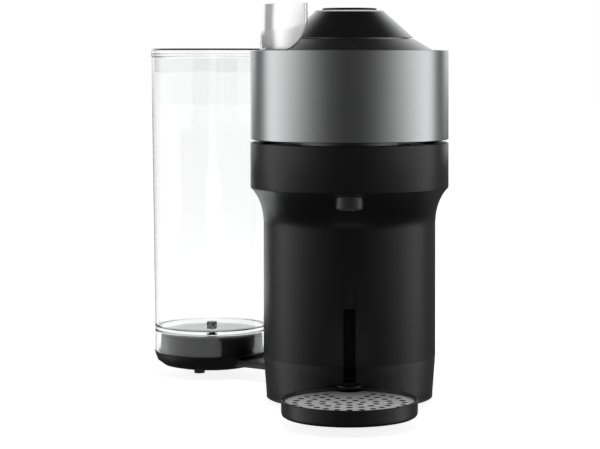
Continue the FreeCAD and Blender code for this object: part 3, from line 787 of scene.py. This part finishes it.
@dataclass
class Head:
    """Metal band, collar, cone, lever and start button. Heights and radii in millimetres."""

    radius: float = 71.0
    wall: float = 2.0
    rim: float = 261.5
    foot: float = 197.7
    window_half: float = 20.6
    collar_foot: float = 59.7
    collar_top: float = 46.3
    collar_rise: float = 7.9
    cone_waist: float = 33.0
    cone_top: float = 24.6
    tip: float = 289.2
    button_radius: float = 19.8

    def build(self) -> None:
        """Build every piece of the head."""
        self.centre = centre_of("head_band")
        self.band()
        self.collar()
        self.cone()
        self.button()
        installed(refined("lever", "lever_wall", 0.6), CHROME, "lever")

    def band(self) -> None:
        """The drawn metal band with its inturned rim and the window for the arm."""
        inner = self.radius - self.wall
        shell = turned("band_shell", self.centre, eased([
            (inner, self.foot, 0.3), (self.radius, self.foot, 0.7), (self.radius, self.rim, 0.6),
            (66, self.rim, 0.3), (66, self.rim - 2, 0.2), (inner, self.rim - 2, 0.2)]), 192)
        centre_y = self.centre[1] / MM
        carved(shell, (-self.window_half, centre_y, self.foot + 3.2),
               (self.window_half, centre_y + 2 * self.radius, self.foot + 9.2))
        installed(shell, BAND_METAL, "head_band")

    def collar(self) -> None:
        """The dark collar that slopes up from the band's rim."""
        foot, top = self.collar_foot, self.collar_top
        low, high = self.rim - 7.5, self.rim + self.collar_rise
        seat = top - 2.4
        installed(turned("collar_slope", self.centre, eased([
            (foot - 2, low, 0), (self.radius - self.wall, low, 0), (self.radius - self.wall, low + 2, 0),
            (foot, low + 2, 0), (foot, self.rim, 0.2), (top, high, 0.5), (seat, high, 0.3),
            (seat, high - 2, 0), (top - 0.8, high - 2, 0), (foot - 2, self.rim - 1.2, 0)]), 192),
            COLLAR_METAL, "head_collar")

    def cone(self) -> None:
        """The dark cone inside the collar."""
        high = self.rim + self.collar_rise
        seat, base = self.collar_top - 2.4, high + 0.6
        installed(turned("cone_slope", self.centre, eased([
            (seat - 2, high - 6, 0), (seat, high - 6, 0), (seat, base, 0), (self.collar_top - 0.2, base, 0.3),
            (self.cone_waist, high + 12.4, 5), (self.cone_top, self.tip, 0.3),
            (self.cone_top, self.tip - 2.6, 0), (32, high + 9.6, 0), (seat - 2, base, 0)]), 192),
            COLLAR_METAL, "head_cone")

    def button(self) -> None:
        """The start button, dished for a finger, in its pale ring."""
        tip, radius = self.tip, self.button_radius
        installed(turned("button_cap", self.centre, eased([
            (0, tip - 14, 0), (4, tip - 14, 0.3), (4, tip - 4, 0), (radius, tip - 4, 0.3),
            (radius, tip + 2.4, 1.0), (radius - 4, tip + 2.35, 0.2), (radius - 9, tip + 1.7, 3),
            (0, tip + 1.4, 0)], closed=False), 96), BUTTON_BLACK, "start_button")
        installed(turned("button_light_ring", self.centre, eased([
            (radius + 0.4, tip - 2.6, 0.1), (self.cone_top, tip - 2.6, 0.1),
            (self.cone_top, tip + 0.6, 0.4), (radius + 0.4, tip + 0.6, 0.3)]), 96),
            LIGHT_WHITE, "button_ring")


@dataclass
class Column:
    """Black ring, column, base and nozzle."""

    nozzle_radius: float = 9.6
    nozzle_bore: float = 2.6
    back_centre: tuple[float, float, float] = (0, -0.0875, 0.0435)
    back_size: tuple[float, float, float] = (0.03, 0.001, 0.071)

    def build(self) -> None:
        """Round the black shells' edges and turn the nozzle."""
        installed(refined("head_ring", "ring_shell", 0.5), RING_BLACK, "head_ring")
        installed(refined("column_shell", "column_skin", 0.4), BODY_BLACK, "column_shell")
        installed(refined("base_shell", "base_skin", 0.4), BODY_BLACK, "base_shell")
        installed(refined("rear_cover", "rear_cover_skin", 0.5), BODY_BLACK, "rear_cover")
        installed(refined("slot_rail", "slot_lining", 0.3), INNER_BLACK, "slot_rail")
        self.slot_back()
        low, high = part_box("nozzle")
        foot, top = low.z / MM, high.z / MM
        installed(turned("nozzle_spout", centre_of("nozzle"), eased([
            (self.nozzle_bore, foot, 0.3), (self.nozzle_radius, foot, 2.6),
            (self.nozzle_radius, top, 0.2), (self.nozzle_bore, top, 0.2)]), 96), SPOUT_BLACK, "nozzle")

    def slot_back(self) -> None:
        """The dark wall behind the slot."""
        nothing_selected()
        bpy.ops.mesh.primitive_cube_add(size=1, location=self.back_centre, scale=self.back_size)
        wall = bpy.context.object
        wall.name = "slot_back_wall"
        bpy.ops.object.transform_apply(location=True, rotation=True, scale=True)
        bpy.ops.object.mode_set(mode="EDIT")
        bpy.ops.mesh.select_all(action="SELECT")
        bpy.ops.mesh.bevel(offset=0.0002, segments=2, affect="EDGES")
        dress(smoothed(wall), INNER_BLACK)
        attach(wall, "base")


@dataclass
class CupSupport:
    """Round drip tray, perforated grille and the bracket that holds them in the slot."""

    radius: float = 47.6
    wall: float = 1.8
    foot: float = 7.2
    rim: float = 18.9
    seat_drop: float = 3.3

    def build(self) -> None:
        """Build the tray, grille and bracket."""
        inner = self.radius - self.wall
        seat = self.rim - self.seat_drop
        installed(turned("tray_dish", centre_of("drip_tray"), eased([
            (0, self.foot, 0), (self.radius, self.foot, 3.0), (self.radius, self.rim, 0.4),
            (inner, self.rim, 0.4), (inner, seat, 0.2), (inner - 1, seat - 0.8, 0.2),
            (inner - 1, self.foot + 2, 1.0), (0, self.foot + 2, 0)], closed=False), 192),
            RING_BLACK, "drip_tray")
        grille = installed(refined("drip_grille", "grille_disc", 0.15), GRILLE_STEEL, "drip_grille")
        # The grille's hole walls and underside are painted dark as painted shade.
        painted_shade_in_holes(grille, INNER_BLACK)
        installed(refined("tray_bracket", "tray_tongue", 0.3), BODY_BLACK, "tray_bracket")


@dataclass
class Tank:
    """Clear tank with its lid and valve, on a black pedestal in the swivel arm's bowl."""

    foot_radius: float = 45.4
    top_radius: float = 48.8
    wall: float = 2.2
    foot: float = 19.0
    rim: float = 255.8
    floor: float = 36.6
    floor_radius: float = 45.65
    hole: float = 2.85
    valve_stem: float = 2.8
    bowl_floor: float = 8.5
    bowl_rim: float = 18.6

    def build(self) -> None:
        """Build the tank, lid, valve, pedestal and arm."""
        self.centre = centre_of("water_tank")
        self.tank()
        self.lid()
        self.valve()
        self.pedestal()
        installed(refined("swivel_arm", "arm_shell", 0.4), BODY_BLACK, "swivel_arm")

    def tank(self) -> None:
        """The clear tank: skirt, floor and tapered wall in one moulding."""
        inner = self.floor_radius - self.wall
        installed(turned("tank_wall", self.centre, eased([
            (self.foot_radius - self.wall, self.foot, 0.5), (self.foot_radius, self.foot, 0.8),
            (self.top_radius, self.rim, 0.7), (self.top_radius - self.wall, self.rim, 0.5),
            (inner, self.floor + 2.2, 2.0), (self.hole, self.floor + 2.2, 0.3),
            (self.hole, self.floor, 0.3), (inner - 0.2, self.floor, 1.5)]), 192), CLEAR, "water_tank")

    def lid(self) -> None:
        """The clear lid with its rim and plug ring."""
        inside = self.top_radius - self.wall - 0.6
        edge = self.top_radius + 0.4
        installed(turned("tank_cap", self.centre, eased([
            (0, self.rim + 3, 0), (inside - 2, self.rim + 3, 1.0), (inside - 2, self.rim - 12, 0.4),
            (inside, self.rim - 12, 0.4), (inside, self.rim + 0.4, 0.2), (edge, self.rim + 0.4, 0.8),
            (edge, self.rim + 5.6, 1.0), (self.top_radius - 1, self.rim + 7, 0.8),
            (0, self.rim + 7, 0)], closed=False), 192), CLEAR, "tank_lid")

    def valve(self) -> None:
        """The valve: a hexagon head on a round stem."""
        floor, stem = self.floor, self.valve_stem
        installed(turned("valve_plug", self.centre, eased([
            (0, floor - 3.4, 0), (3.4, floor - 3.4, 0.2), (3.4, floor - 2.6, 0), (stem, floor - 2.6, 0),
            (stem, floor + 2.5, 0), (4.9, floor + 2.5, 0.2), (4.4, floor + 5, 0.4),
            (0, floor + 5, 0)], closed=False), 6), BODY_BLACK, "tank_valve")

    def pedestal(self) -> None:
        """The black pedestal that the tank's skirt goes round."""
        top = self.floor - 5.8
        low, rim = self.bowl_floor, self.bowl_rim
        installed(turned("pedestal_shell", self.centre, eased([
            (9, low, 0), (28.4, low, 1.0), (41.4, rim, 1.5), (40.8, top + 1.3, 0.6), (39.4, top + 2.7, 0.5),
            (33, top + 2.7, 0.5), (31, top, 0.5), (9, top, 0.2), (9, top - 2, 0), (30, top - 2, 0),
            (32, top + 0.7, 0), (38.7, top + 0.7, 0), (39.3, rim, 0), (27.6, low + 2, 0),
            (9, low + 2, 0)]), 144), PEDESTAL_BLACK, "tank_pedestal")


# ---------------------------------------------------------------- whole machine

class Carried:
    """The CAD nodes that keep their own shape."""

    def dress(self) -> None:
        """Give every CAD node the finish of its slot."""
        for name, thing in frame["nodes"].items():
            dress(thing, SLOT_FINISH[MaterialSlot(SLOT_OF[name])])
        log.info("dressed %d CAD nodes", len(SLOT_OF))


def main() -> None:
    """Build the studio and the machine."""
    logging.basicConfig(level=logging.INFO, format="%(name)s: %(message)s")
    Studio().set_up()
    Carried().dress()
    for assembly in (Head(), Column(), CupSupport(), Tank()):
        assembly.build()


if __name__ == "__main__":
    main()
